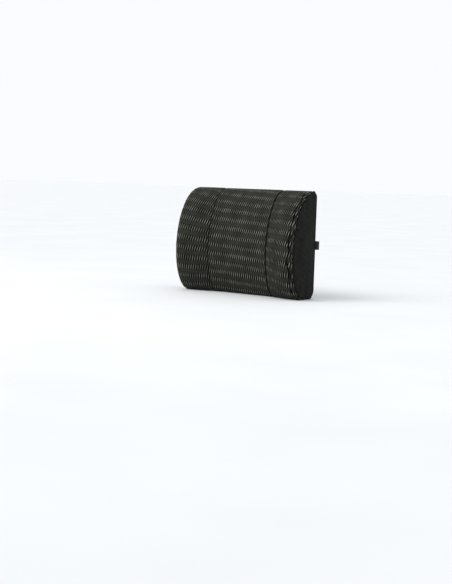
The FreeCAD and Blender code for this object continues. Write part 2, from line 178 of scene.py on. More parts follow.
# ---------------------------------------------------------------- materials
def srgb(code):
    """A linear colour from an sRGB hex code."""
    values = [int(code[i : i + 2], 16) / 255 for i in (1, 3, 5)]
    return tuple(v / 12.92 if v <= 0.04045 else ((v + 0.055) / 1.055) ** 2.4 for v in values) + (1.0,)


def node(material, kind, links=None, **settings):
    """Adds a node. settings name attributes or sockets, and links joins sockets to other nodes' outputs."""
    made = material.node_tree.nodes.new(kind)
    for key, value in settings.items():
        if hasattr(made, key):
            setattr(made, key, value)
        else:
            made.inputs[key.replace("_", " ")].default_value = value
    for key, source in (links or {}).items():
        material.node_tree.links.new(source, made.inputs[key])
    return made


def new_material(name, roughness, sheen=0.0, specular=0.5):
    """A new material and its shader."""
    material = bpy.data.materials.new(name)
    material.use_nodes = True
    material.node_tree.nodes.clear()
    shader = node(material, "ShaderNodeBsdfPrincipled", Roughness=roughness)
    shader.inputs["Specular IOR Level"].default_value = specular
    if sheen:
        shader.inputs["Sheen Weight"].default_value = sheen
        shader.inputs["Sheen Roughness"].default_value = 0.5
    node(material, "ShaderNodeOutputMaterial", {"Surface": shader.outputs["BSDF"]})
    return material, shader


def join(material, source, target):
    material.node_tree.links.new(source, target)


def maths(material, operation, a, b=0.0):
    """One Math node. a and b are numbers or outputs."""
    made = node(material, "ShaderNodeMath", operation=operation)
    for socket, value in zip(made.inputs, (a, b)):
        if isinstance(value, (int, float)):
            socket.default_value = value
        else:
            join(material, value, socket)
    return made.outputs[0]


def times(material, a, b):
    return maths(material, "MULTIPLY", a, b)


def plus(material, a, b):
    return maths(material, "ADD", a, b)


def noise(material, place, scale, detail):
    return node(material, "ShaderNodeTexNoise", {"Vector": place}, Scale=scale, Detail=detail).outputs["Fac"]


def finished(material, shader, colour, height, strength, relief_mm):
    """Joins a colour and a relief to the shader, and gives the material."""
    join(material, colour, shader.inputs["Base Color"])
    bump = node(material, "ShaderNodeBump", {"Height": height}, Strength=strength, Distance=relief_mm * MM)
    join(material, bump.outputs["Normal"], shader.inputs["Normal"])
    return material


def ramp(material, factor, stops):
    """A colour ramp from (place, hex colour) stops."""
    made = node(material, "ShaderNodeValToRGB", {"Fac": factor})
    elements = made.color_ramp.elements
    while len(elements) < len(stops):
        elements.new(0.5)
    for element, (place, code) in zip(elements, stops):
        element.position = place
        element.color = srgb(code)
    return made.outputs["Color"]


def surface_mm(material):
    """The piece's UV map in millimetres, split into its two directions."""
    uv = node(material, "ShaderNodeUVMap", uv_map="cloth")
    links = {"Vector": uv.outputs["UV"]}
    scaled = node(material, "ShaderNodeVectorMath", links, operation="SCALE", Scale=1 / MM)
    split = node(material, "ShaderNodeSeparateXYZ", {"Vector": scaled.outputs["Vector"]})
    return scaled.outputs["Vector"], split.outputs["X"], split.outputs["Y"]


def waves(material, place, pitch_mm):
    """A smooth wave from 0 to 1 with the given pitch in millimetres."""
    angle = times(material, place, 2 * math.pi / pitch_mm)
    return times(material, plus(material, maths(material, "SINE", angle), 1.0), 0.5)


def ribbed_air_mesh():
    """Warp-knitted polyester air mesh: black, with a painted highlight making its rib tops grey and painted
    shade making its grooves almost lightless.
    """
    material, shader = new_material("ribbed air mesh, knitted polyester", 0.75, sheen=0.02, specular=0.08)
    # The rib attribute holds the rib height, with painted shade at the seams and creases multiplied in.
    rib = node(material, "ShaderNodeAttribute", attribute_name="rib").outputs["Fac"]
    cloth, across, along = surface_mm(material)
    # Knitted loops of about 1.1 mm, seen as fine grain on each rib.
    loops = times(material, waves(material, across, 1.1), waves(material, along, 1.5))
    patches = noise(material, cloth, 0.03, 2.0)
    shade = plus(material, times(material, loops, 0.14), times(material, patches, 0.24))
    level = plus(material, times(material, rib, 0.86), maths(material, "SUBTRACT", shade, 0.14))
    # From the open grooves in painted shade, through the plain bands, to the tops of the ribs in a painted
    # highlight.
    stops = [(0.1, "#000000"), (0.3, "#090909"), (0.44, "#1b1c18"), (0.72, "#3b3c35"), (1.0, "#bcbdae")]
    return finished(material, shader, ramp(material, level, stops), loops, 0.5, 0.25)


def plain_mesh(name, light, stripes):
    """Plain spacer mesh of small round holes, darker than the ribbed cloth, with faint stripes or none."""
    material, shader = new_material(name, 0.85, sheen=0.02, specular=0.08)
    cloth, across, along = surface_mm(material)
    # Holes 2.2 mm apart, in staggered rows.
    holes = node(material, "ShaderNodeTexVoronoi", {"Vector": cloth}, Scale=1 / 2.2, Randomness=0.25)
    links = {"Value": holes.outputs["Distance"]}
    rim = node(material, "ShaderNodeMapRange", links, From_Min=0.15, From_Max=0.45).outputs["Result"]
    # Slanted stripes 17 mm apart, which wander by up to 12 mm.
    drift = times(material, noise(material, cloth, 0.02, 1.0), 12.0)
    slant = plus(material, plus(material, along, times(material, across, 0.5)), drift)
    band = times(material, waves(material, slant, 17.0), stripes)
    patches = noise(material, cloth, 0.04, 3.0)
    level = plus(material, plus(material, times(material, rim, 0.45), band), times(material, patches, 0.35))
    colour = ramp(material, level, [(0.0, "#020202"), (0.4, "#0c0c0b"), (1.0, light)])
    return finished(material, shader, colour, rim, 0.6, 0.4)


def elastic_webbing():
    """Woven elastic: lengthways cords with crosswise picks, a matte black with a slight sheen."""
    material, shader = new_material("elastic webbing, woven", 0.7, sheen=0.1, specular=0.3)
    _, along, across = surface_mm(material)
    cords = waves(material, across, 1.6)
    picks = waves(material, plus(material, along, times(material, cords, 0.6)), 1.3)
    weave = times(material, plus(material, cords, 0.4), plus(material, picks, 0.5))
    colour = ramp(material, weave, [(0.1, "#080808"), (0.6, "#1c1c1c"), (1.0, "#2e2e2e")])
    return finished(material, shader, colour, weave, 0.7, 0.3)


def grained(name, roughness, low, high, grain_mm, relief_mm, sheen=0.0):
    """A material with fine grain in its colour, its gloss and its relief, on object coordinates."""
    material, shader = new_material(name, roughness, sheen=sheen)
    place = node(material, "ShaderNodeTexCoord").outputs["Object"]
    grain = noise(material, place, 1000 / grain_mm, 3.0)
    broad = noise(material, place, 60.0, 3.0)
    mixed = plus(material, times(material, grain, 0.5), times(material, broad, 0.5))
    colour = ramp(material, mixed, [(0.3, low), (0.7, high)])
    dullest, glossiest = roughness + 0.07, roughness - 0.07
    gloss = node(material, "ShaderNodeMapRange", {"Value": broad}, To_Min=glossiest, To_Max=dullest)
    join(material, gloss.outputs["Result"], shader.inputs["Roughness"])
    return finished(material, shader, colour, grain, 0.5, relief_mm)


MATERIALS = {}


def finish_of(key):
    """Each material, made once."""
    makers = {
        "air_mesh": ribbed_air_mesh,
        "end_mesh": lambda: plain_mesh("plain spacer mesh, ends", "#2c2d28", 0.09),
        "back_mesh": lambda: plain_mesh("plain spacer mesh, back", "#2a2a29", 0.0),
        "webbing": elastic_webbing,
        # Acetal from a lightly spark-eroded mould: dull black with a soft highlight.
        "hardware": lambda: grained("acetal, moulded", 0.45, "#0d0d0e", "#161617", 0.35, 0.02),
        # Zinc with baked black paint: a tight, brighter highlight.
        "zip_metal": lambda: grained("zinc, black enamelled", 0.3, "#0b0b0c", "#141416", 0.6, 0.01),
        # Nylon monofilament: slightly glossy teeth.
        "zip_coil": lambda: grained("nylon coil", 0.4, "#0c0c0d", "#18181a", 0.5, 0.01),
        # Plain woven polyester tape.
        "zip_tape": lambda: grained("zip tape, woven", 0.8, "#090909", "#191919", 0.45, 0.08, sheen=0.2),
        # Spun polyester sewing thread.
        "thread": lambda: grained("sewing thread, spun", 0.7, "#121212", "#262626", 0.3, 0.04, sheen=0.3),
        # Open-cell polyurethane: cream, quite matte, finely pitted.
        "foam": lambda: grained("foam, moulded", 0.95, "#d8d0b8", "#e6e0cc", 0.8, 0.25),
        # Thin white weft knit.
        "liner_knit": lambda: grained("liner, knitted", 0.9, "#c9c9c5", "#dededb", 0.9, 0.12, sheen=0.2),
        # Damask label cloth with nothing woven on it.
        "label": lambda: grained("label, woven satin", 0.6, "#b9b9b4", "#cfcfca", 0.4, 0.05),
    }
    if key not in MATERIALS:
        MATERIALS[key] = makers[key]()
    return MATERIALS[key]


# ---------------------------------------------------------------- mesh helpers
def placed(obj, body, nodes, key):
    """Gives a piece its finish and its body, and hides the CAD nodes it stands for."""
    obj.data.materials.append(finish_of(key))
    if body:
        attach(obj, body)
    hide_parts(*nodes)
    return obj


def shape_of(obj):
    """The points and faces of a small piece that is repeated, which is then removed."""
    points = np.array([v.co for v in obj.data.vertices])
    faces = [tuple(p.vertices) for p in obj.data.polygons]
    bpy.data.objects.remove(obj)
    return points, faces


def clear_selection():
    if bpy.context.mode != "OBJECT":
        bpy.ops.object.mode_set(mode="OBJECT")
    for obj in bpy.context.view_layer.objects:
        obj.select_set(False)


def add_mesh(name, points, faces, uvs=None, attributes=None):
    """An object from points, faces, a UV for each point and named values for each point."""
    mesh = bpy.data.meshes.new(name)
    mesh.from_pydata([tuple(p) for p in points], [], [tuple(f) for f in faces])
    if uvs is not None:
        layer = mesh.uv_layers.new(name="cloth")
        corners = np.zeros(len(mesh.loops), dtype=np.int32)
        mesh.loops.foreach_get("vertex_index", corners)
        layer.data.foreach_set("uv", np.asarray(uvs, dtype=np.float32)[corners].ravel())
    for key, values in (attributes or {}).items():
        attribute = mesh.attributes.new(key, "FLOAT", "POINT")
        attribute.data.foreach_set("value", np.asarray(values, dtype=np.float32).ravel())
    mesh.polygons.foreach_set("use_smooth", [True] * len(mesh.polygons))
    mesh.update()
    obj = bpy.data.objects.new(name, mesh)
    bpy.context.scene.collection.objects.link(obj)
    return obj


def grid_faces(columns, rows):
    """Quads over a grid of points stored column by column."""
    i, j = np.meshgrid(np.arange(columns - 1), np.arange(rows - 1), indexing="ij")
    a, b = i * rows + j, (i + 1) * rows + j
    return np.stack([a, b, b + 1, a + 1], axis=-1).reshape(-1, 4)


def loop_faces(rings, count):
    """Quads over rings of points, each ring closed on itself."""
    i, j = np.meshgrid(np.arange(rings - 1), np.arange(count), indexing="ij")
    a, b = i * count + j, (i + 1) * count + j
    c, d = (i + 1) * count + (j + 1) % count, i * count + (j + 1) % count
    return np.stack([a, b, c, d], axis=-1).reshape(-1, 4)


def fan(ring, tip):
    """Triangles from a closed ring to a tip, all given by the numbers of their points."""
    ring = list(ring)
    return [(a, tip, b) for a, b in zip(ring, ring[1:] + ring[:1])]


def along(points, places):
    """Cubic interpolation of points at fractional places along their first axis."""
    i = np.clip(np.floor(places).astype(int), 0, len(points) - 2)
    t = (places - i).reshape((-1,) + (1,) * (points.ndim - 1))
    a, b, c, d = (points[np.clip(i + k, 0, len(points) - 1)] for k in (-1, 0, 1, 2))
    return b + 0.5 * t * (c - a + t * (2 * a - 5 * b + 4 * c - d + t * (3 * (b - c) + d - a)))


def finer(grid, columns, rows):
    """The grid at fractional column and row places."""
    return np.swapaxes(along(np.swapaxes(along(grid, columns), 0, 1), rows), 0, 1)


def unit(vectors):
    return vectors / np.maximum(np.linalg.norm(vectors, axis=-1, keepdims=True), 1e-12)


def grid_normals(grid, outside):
    """Unit normals of a grid, turned to the side that outside points to."""
    normals = unit(np.cross(np.gradient(grid, axis=0), np.gradient(grid, axis=1)))
    if np.sum(normals * outside) < 0:
        normals = -normals
    return normals


def lengths(points):
    """Distance along a line of points, from its first."""
    steps = np.linalg.norm(np.diff(points, axis=0), axis=1)
    return np.concatenate([[0.0], np.cumsum(steps)])


def at_lengths(line, places):
    """The points of a line at the given distances along it."""
    run = lengths(line)
    return np.stack([np.interp(places, run, line[:, k]) for k in range(line.shape[1])], axis=1)


def ripple(places, pitch, seed):
    """Smooth uneven waves between -1 and 1, about pitch apart."""
    rng = np.random.default_rng(seed)
    total = np.zeros_like(places)
    for _ in range(5):
        total += np.sin(2 * math.pi * places / (pitch * rng.uniform(0.7, 1.6)) + rng.uniform(0, 7))
    return total / 3.0


def bell(distance, width):
    return np.exp(-((distance / width) ** 2))


# ---------------------------------------------------------------- the cushion's form
def depth_at(x):
    centre = bpy.context.scene.cushion_cover.centre_depth
    share = np.clip((abs(x) - HOLLOW_HALF) / (WING_CREST - HOLLOW_HALF), 0, 1)
    return centre + (WING_DEPTH - centre) * (1 - np.cos(math.pi * share)) / 2


def rounded_off(x, inset, round_radius):
    """How far a round of the given radius at the end draws in a side at x, on a form drawn in by inset."""
    radius = round_radius - inset
    over = max(0.0, abs(x) - (END_FACE_X - round_radius))
    return radius - math.sqrt(max(0.0, radius**2 - over**2))


def profile(x, inset, part, shares):
    """Points of the D profile at x, drawn in by inset, at the given shares of its front or its back part."""
    depth = depth_at(x)
    drawn = inset + rounded_off(x, inset, END_ROUND)
    front, top = depth - inset - rounded_off(x, inset, FRONT_ROUND), HEIGHT - drawn
    high, low = TOP_RADIUS - 0.6 * drawn, BOTTOM_RADIUS - 0.7 * drawn
    ridge, base = drawn + high, BASE_SHARE * depth
    turn = np.linspace(0, 1, 40)

    def top_arc(a, b):
        angle = a + (b - a) * turn
        return drawn + high - high * np.cos(angle), top - high + high * np.sin(angle)

    def bottom_arc(a, b):
        angle = a + (b - a) * turn
        return drawn + low - low * np.sin(angle), drawn + low - low * np.cos(angle)

    quarter = turn * math.pi / 2
    if part == "front":
        runs = [
            top_arc(TOP_SEAM, math.pi / 2),
            (ridge + (front - ridge) * np.sin(quarter), CREST_Z + (top - CREST_Z) * np.cos(quarter)),
            (base + (front - base) * np.cos(quarter), CREST_Z - (CREST_Z - drawn) * np.sin(quarter)),
            (np.array([base, drawn + low]), np.array([drawn, drawn])),
            bottom_arc(0, BOTTOM_SEAM),
        ]
    else:
        runs = [
            bottom_arc(BOTTOM_SEAM, math.pi / 2),
            (np.array([drawn, drawn]), np.array([drawn + low, top - high])),
            top_arc(0, TOP_SEAM),
        ]
    forward = np.concatenate([r[0] for r in runs])
    height = np.concatenate([r[1] for r in runs])
    line = np.stack([np.full_like(forward, x), BACK_Y - forward, height], axis=1)
    line = line[np.concatenate([[True], np.diff(lengths(line)) > 1e-9])]
    return at_lengths(line, np.asarray(shares) * lengths(line)[-1])


def x_at(turn, inset=0.0):
    """The x that the end's round has got to after the given turn."""
    return END_X + (END_ROUND - inset) * math.sin(turn)


def x_after(run):
    """The x at the given length from the middle of the front, round towards its end seams."""
    over = max(0.0, abs(run) - FRONT_END_X)
    return math.copysign(abs(run) - over + FRONT_ROUND * math.sin(over / FRONT_ROUND), run)


LEFT_CREASE, RIGHT_CREASE = NARROW_CREASE_IN - SEAM_RUN, SEAM_RUN - CREASE_IN


def stations():
    """The x of every column of the front, with the seams and the end creases among them."""
    stops = [(-SEAM_RUN, 2), (LEFT_CREASE, 4), (-FRONT_END_X, 9), (-SEAM_X, 28), (SEAM_X, 9)]
    stops += [(FRONT_END_X, 3), (RIGHT_CREASE, 3), (SEAM_RUN, 0)]
    runs = [-SEAM_RUN]
    for (a, count), (b, _) in zip(stops, stops[1:]):
        runs += list(np.linspace(a, b, count + 1)[1:])
    return np.array([x_after(run) for run in runs])


def front_form():
    shares = np.linspace(0, 1, FRONT_ROWS)
    return np.stack([profile(x, 0.0, "front", shares) for x in stations()])


END_RINGS = 5
END_FILL = 13


def end_loop(finer_by=1):
    """Round the right end: (part, share, turn of its seam) and the outward way in Y and Z, for each point."""
    places, ways = [], []
    parts = (("front", FRONT_ROWS, SEAM_TURN, BACK_TURN), ("back", BACK_ROWS, BACK_TURN, SEAM_TURN))
    for part, rows, seam, after in parts:
        shares = np.linspace(0, 1, (rows - 1) * finer_by + 1)
        line = profile(END_X, 0.0, part, shares)
        tangent = unit(np.gradient(line[:, 1:], axis=0))
        outward = np.stack([-tangent[:, 1], tangent[:, 0]], axis=1)
        if np.sum(outward * (line[:, 1:] - [BACK_Y - 0.05, HEIGHT / 2])) < 0:
            outward = -outward
        start = 0 if part == "front" else 1
        places += [(part, share, seam) for share in shares[start:]]
        ways += list(outward[start:])
        turns = np.linspace(seam, after, 3 * finer_by + 1)[1:]
        if part == "back":
            turns = turns[:-1]
        places += [(part, 1.0, turn) for turn in turns]
        ways += [outward[-1]] * len(turns)
    return places, np.array(ways)


def end_form(finer_by=1, rings_by=1):
    """Rings over the right end, from its seam round to its face and in to its middle, with their normals."""
    places, ways = end_loop(finer_by)
    rings, normals = [], []
    steps = END_RINGS * rings_by
    for k in range(steps + 1):
        turns = [seam + (math.pi / 2 - seam) * k / steps for _, _, seam in places]
        ring = [profile(x_at(t), 0.0, part, [share])[0] for t, (part, share, _) in zip(turns, places)]
        rings.append(ring)
        # The front has a larger round than the other sides, so it has turned further.
        turns = np.minimum(turns, math.radians(89.5))
        further = np.arcsin((x_at(0.0) + END_ROUND * np.sin(turns) - FRONT_END_X) / FRONT_ROUND)
        forward = np.minimum(ways[:, 0], 0) ** 2
        slope = forward * np.tan(further) + (1 - forward) * np.tan(turns)
        normals.append(unit(np.concatenate([slope[:, None], ways], axis=1)))
    edge = np.array(rings[-1])
    middle = np.array([END_FACE_X, BACK_Y - 0.42 * WING_DEPTH, 0.46 * HEIGHT])
    fill = END_FILL * rings_by
    for k in range(1, fill - rings_by + 1):
        rings.append(middle + (edge - middle) * (1 - k / fill))
        normals.append(np.tile([1.0, 0.0, 0.0], (len(places), 1)))
    return np.array(rings), middle, np.array(normals)


# ---------------------------------------------------------------- settling the cloth
CLOTH = {
    "quality": 6,
    "mass": 0.3,
    "tension_stiffness": 12,
    "compression_stiffness": 12,
    "shear_stiffness": 4,
    "bending_stiffness": 1.5,
    "use_pressure": True,
    "uniform_pressure_force": 3.0,
    "vertex_group_mass": "pinned",
    "shrink_min": -0.035,
}
SEAM_PIN, CREASE_PIN = 1.0, 0.6  # how firmly the seams and the creases are held
SETTLING_FRAMES = 20


def swollen(obj):
    """The points of a pinned cloth once it has settled under a little pressure. The cloth is removed."""
    cloth = obj.modifiers.new("cloth", "CLOTH")
    for key, value in CLOTH.items():
        setattr(cloth.settings, key, value)
    cloth.settings.effector_weights.gravity = 0
    cloth.collision_settings.use_collision = False
    cloth.point_cache.frame_start, cloth.point_cache.frame_end = 1, SETTLING_FRAMES
    scene = bpy.context.scene
    for number in range(1, SETTLING_FRAMES + 1):
        scene.frame_set(number)
    result = obj.evaluated_get(bpy.context.evaluated_depsgraph_get())
    moved = np.zeros(len(obj.data.vertices) * 3)
    result.data.vertices.foreach_get("co", moved)
    scene.frame_set(1)
    bpy.data.objects.remove(obj)
    return moved.reshape(-1, 3)


def settled(front, rings, middle):
    """Lets the cover swell as cloth between its seams. Gives the moved front and how far the end moved."""
    columns, rows = front.shape[:2]
    loop = rings.shape[1]
    x = stations()
    back = np.stack([profile(place, 0.0, "back", np.linspace(0, 1, BACK_ROWS)[1:-1]) for place in x])
    tube = np.concatenate([front, back], axis=1)
    count = tube.shape[1]
    points = [tube.reshape(-1, 3)]
    faces = [loop_faces(columns, count)[:, [0, 3, 2, 1]]]
    # The back and every seam are held, and the creases are held less firmly.
    held = np.zeros((columns, count))
    held[:, rows - 1 :] = SEAM_PIN
    held[:, 0] = SEAM_PIN
    for seam in (-END_SEAM_X, -SEAM_X, SEAM_X, END_SEAM_X):
        held[np.argmin(abs(x - seam))] = SEAM_PIN
    for crease in (LEFT_CREASE, RIGHT_CREASE):
        held[np.argmin(abs(x - x_after(crease)))] = CREASE_PIN
    pins = [held.ravel()]
    triangles = []
    for side in (1, -1):
        start = sum(len(p) for p in points)
        flip = np.array([side, 1, 1])
        points += [(rings * flip).reshape(-1, 3), (middle * flip)[None]]
        tip = start + len(rings) * loop
        quads, corners = start + loop_faces(len(rings), loop), fan(range(tip - loop, tip), tip)
        faces.append(quads if side > 0 else quads[:, ::-1])
        triangles += corners if side > 0 else [corner[::-1] for corner in corners]
        pins.append(np.where(np.arange(len(rings) * loop + 1) < loop, SEAM_PIN, 0.0))
    before, pins = np.concatenate(points), np.concatenate(pins)
    obj = add_mesh("cloth_to_settle", before, [tuple(f) for part in faces for f in part] + triangles)
    group = obj.vertex_groups.new(name="pinned")
    for value in (SEAM_PIN, CREASE_PIN):
        group.add([int(k) for k in np.nonzero(np.isclose(pins, value))[0]], value, "REPLACE")
    shift = swollen(obj) - before
    size = np.linalg.norm(shift, axis=1, keepdims=True)
    limit = bpy.context.scene.cushion_cover.settle
    shift *= limit * np.tanh(size / limit) / np.maximum(size, 1e-9)
    shift[size[:, 0] < 1e-7] = 0
    start = columns * count
    moved = (before + shift)[:start].reshape(columns, count, 3)
    return moved[:, :rows], shift[start : start + len(rings) * loop].reshape(-1, loop, 3)


# ---------------------------------------------------------------- the cloth's detail
def ribs(across, down, skew):
    """Height of the cloth's pattern from 0, a groove, to 1, a rib, at places in metres on the cloth."""
    settings = bpy.context.scene.cushion_cover
    share = settings.band_share
    place = ((down - skew * across) / settings.band_pitch) % 1.0
    rising, falling = place / share, (place - share) / (1 - share)
    ribbed = place < share
    # Each rib leans one way over the ribbed band and back again over the plain one.
    lean = np.where(ribbed, rising, 1 - falling) * 4.4 * MM
    wave = 0.5 + 0.5 * np.cos(2 * math.pi * (across + lean) / settings.rib_pitch)
    band = np.where(ribbed, np.sin(math.pi * np.clip(rising, 0, 1)), 0.0) ** 0.4
    return band * wave**1.45 + (1 - band) * (0.53 + 0.12 * wave)


def panel_sheet(name, base, outside, detail, edge_gap=0.25 * MM, down=None):
    """One cut panel: the base grid moved out by detail, its edges turned in, and its UV map in metres.

    detail takes the places across and down the cloth and gives the move along the normal and the rib height,
    with painted shade at seams and creases multiplied in.
    down gives the length of cloth from the first row to each of some evenly spread rows."""
    normals = grid_normals(base, outside)
    columns, rows = base.shape[:2]
    across = lengths(base[:, rows * 2 // 5])
    if down is None:
        down = lengths(base[columns // 2])
    down = np.interp(np.linspace(0, 1, rows), np.linspace(0, 1, len(down)), down)
    u, v = np.meshgrid(across, down, indexing="ij")
    move, rib = detail(u, v)
    grid = base + normals * move[..., None]
    grid[..., 2] = np.maximum(grid[..., 2], REST_GAP)
    # The seam allowance: the outermost points sink in, and a gap parts the panel from its neighbour.
    sides = unit(np.gradient(grid, axis=0))
    grid[0] += sides[0] * edge_gap
    grid[-1] -= sides[-1] * edge_gap
    turned = normals * ALLOWANCE
    grid = np.concatenate([grid[:1] - turned[:1], grid, grid[-1:] - turned[-1:]])
    turned = np.concatenate([turned[:1], turned, turned[-1:]])
    grid = np.concatenate([grid[:, :1] - turned[:, :1], grid, grid[:, -1:] - turned[:, -1:]], axis=1)
    u, v, rib = (np.pad(a, 1, mode="edge") for a in (u, v, rib))
    faces = grid_faces(*grid.shape[:2])
    ahead = np.cross(grid[1, rows // 2] - grid[2, rows // 2], grid[2, rows // 2 + 1] - grid[2, rows // 2])
    if np.dot(ahead, turned[2, rows // 2]) > 0:
        faces = faces[:, ::-1]
    points = grid.reshape(-1, 3)
    uvs = np.stack([u.ravel(), v.ravel()], axis=1)
    return add_mesh(name, points, faces, uvs, {"rib": rib.ravel()})


def front_panel(name, grid, low_x, high_x, skew, start, seams, seed):
    """One of the three front panels, ribbed, with a groove at each seam and a puckered roll by an end seam.

    skew tilts the rows of ribs, start shifts them down, and seams says how tight each side's seam is."""
    x = stations()
    first, last = (int(np.argmin(abs(x - edge))) for edge in (low_x, high_x))
    columns = np.linspace(first, last, (last - first) * 7 + 1)
    rows = np.linspace(0, FRONT_ROWS - 1, (FRONT_ROWS - 1) * 4 + 1)
    base = finer(grid, columns, rows)
    settings = bpy.context.scene.cushion_cover
    width = lengths(base[:, base.shape[1] * 2 // 5])[-1]
    rolls = []
    if low_x < -SEAM_X - MM:
        rolls.append((False, NARROW_CREASE_IN, 0.2))
    if high_x > SEAM_X + MM:
        rolls.append((True, CREASE_IN, 1.0))

    def detail(u, v):
        height = ribs(u - width / 2, v + start, skew)
        near = np.minimum(u, width - u)
        tight = np.where(u < width / 2, *seams)
        top_bottom = np.minimum(v, v.max() - v)
        height += (0.4 - height) * np.clip(1.3 * bell(top_bottom, 7 * MM), 0, 1)
        fade = 1 - 0.8 * bell(near, 2.5 * MM)
        for at_high, _, _ in rolls:
            fade *= 1 - 0.5 * bell(width - u if at_high else u, 18 * MM)
        move = (height - 0.5) * settings.rib_height * fade
        move -= 2.6 * MM * tight * bell(near, 1.8 * MM) * (1 + 0.25 * ripple(v, 30 * MM, seed))
        move -= 1.0 * MM * bell(near, 6.0 * MM)
        move -= 1.2 * MM * bell(top_bottom, 3.5 * MM) * (1 + 0.2 * ripple(u, 32 * MM, seed + 1))
        # Painted shade: the colour darkens in the seam grooves, most at the tight seams.
        painted_shade = 1 - tight * bell(near, 2.0 * MM)
        for at_high, crease_in, strength in rolls:
            from_end = width - u if at_high else u
            crease = crease_in * (1 + 0.2 * ripple(v, 60 * MM, seed + 2))
            depth = strength * np.clip(0.9 + 0.7 * ripple(v, 48 * MM, seed + 4), 0.2, 1.6)
            roll = np.sin(math.pi * np.clip(from_end / crease, 0, 1)) ** 0.7
            move += roll * (1.0 + 1.5 * ripple(v + 0.5 * from_end, 21 * MM, seed + 3)) * strength * MM
            move -= 3.6 * MM * bell(from_end - crease, 2.0 * MM) * depth
            move -= 2.4 * MM * strength * bell(from_end, 3.0 * MM)
            drag = bell(np.maximum(from_end - crease, 0), 18 * MM) * (from_end >= crease)
            move += 0.8 * MM * drag * strength * ripple(v + 0.3 * u, 24 * MM, seed + 5)
            # Painted shade along each crease.
            painted_shade *= 1 - np.clip(0.9 * depth, 0, 1) * bell(from_end - crease, 1.7 * MM)
        return move, height * np.clip(painted_shade, 0, 1)

    outside = base - np.array([0.0, BACK_Y - 0.03, 0.45 * HEIGHT])
    down = lengths(grid[np.argmin(abs(x - SEAM_X))])
    obj = panel_sheet(name, base, outside, detail, down=down)
    return placed(obj, "cushion", [name], "air_mesh")


def end_panel(name, shift, side, pucker, seed):
    """One end panel: puckered by its seam, a little domed, and closed at its middle."""
    by, rings_by = 3, 4
    rings, middle, normals = end_form(by, rings_by)
    loop = rings.shape[1]
    wrapped = np.concatenate([shift, shift[:, :1]], axis=1)
    places = np.arange(loop) / by
    moved = finer(wrapped, np.linspace(0, len(shift) - 1, len(rings)), places)
    ring = np.arange(len(rings))[:, None] / rings_by
    moved *= np.clip(1 - (ring - END_RINGS) / 6, 0, 1)[..., None]
    around = lengths(np.concatenate([rings[0], rings[0, :1]]))[:-1]
    inward = lengths(rings[:, loop // 3])
    v, u = np.meshgrid(around, inward)
    at_front = pucker * np.clip((BACK_Y - 12 * MM - rings[..., 1]) / (30 * MM), 0, 1)
    move = -1.1 * MM - 1.6 * MM * bell(u, 2.4 * MM)
    move += (1.5 * ripple(v, 23 * MM, seed) * at_front + 0.9) * MM * bell(u - 6 * MM, 5 * MM)
    move += 0.9 * MM * bell(u - 14 * MM, 14 * MM) * ripple(v, 41 * MM, seed + 1) * at_front
    # The foam behind swells the flat of the end a little.
    high = np.clip(rings[..., 2] / HEIGHT, 0, 1)
    deep = np.clip((BACK_Y - rings[..., 1]) / WING_DEPTH, 0, 1)
    dome = 4.5 * MM * np.sin(math.pi * high) * np.sin(math.pi * deep)
    dome += 0.8 * MM * np.sin(rings[..., 1] / (29 * MM) + rings[..., 2] / (43 * MM) + seed)
    move += dome * np.clip(u / (40 * MM), 0, 1)
    surface = rings + moved + normals * move[..., None]
    surface[..., 2] = np.maximum(surface[..., 2], REST_GAP)
    turned = surface[:1] - normals[:1] * ALLOWANCE
    grid = np.concatenate([turned, surface])
    tip = middle + [move[-1].mean(), 0, 0]
    points = np.concatenate([grid.reshape(-1, 3), tip[None]])
    faces = [tuple(f) for f in loop_faces(len(grid), loop)]
    faces += fan(range((len(grid) - 1) * loop, len(grid) * loop), len(points) - 1)
    uvs = np.stack([points[:, 1], points[:, 2]], axis=1)
    if side < 0:
        points = points * [-1, 1, 1]
        faces = [f[::-1] for f in faces]
    obj = add_mesh(name, points, faces, uvs)
    outward_faces(obj)
    return placed(obj, "cushion", [name], "end_mesh")


def outward_faces(obj):
    """Turns the whole mesh if most of it faces the cushion's middle."""
    middle = Vector((0, BACK_Y - 0.05, HEIGHT / 2))
    facing = sum(p.area * (p.center - middle).dot(p.normal) for p in obj.data.polygons)
    if facing < 0:
        obj.data.flip_normals()


def back_columns():
    """The x of every column of the back, round onto the ends as far as their seams."""
    inner = list(np.linspace(-END_X, END_X, 98))
    rounds = [x_at(turn) for turn in np.linspace(0, BACK_TURN, 7)[1:]]
    return [-x for x in reversed(rounds)] + inner + rounds


def slot_edge(x):
    """Half height of the zip's slot at x, closing to nothing past its ends."""
    return 5.2 * MM * np.clip((ZIP_HALF + 6 * MM - abs(x)) / (5 * MM), 0, 1) ** 0.5


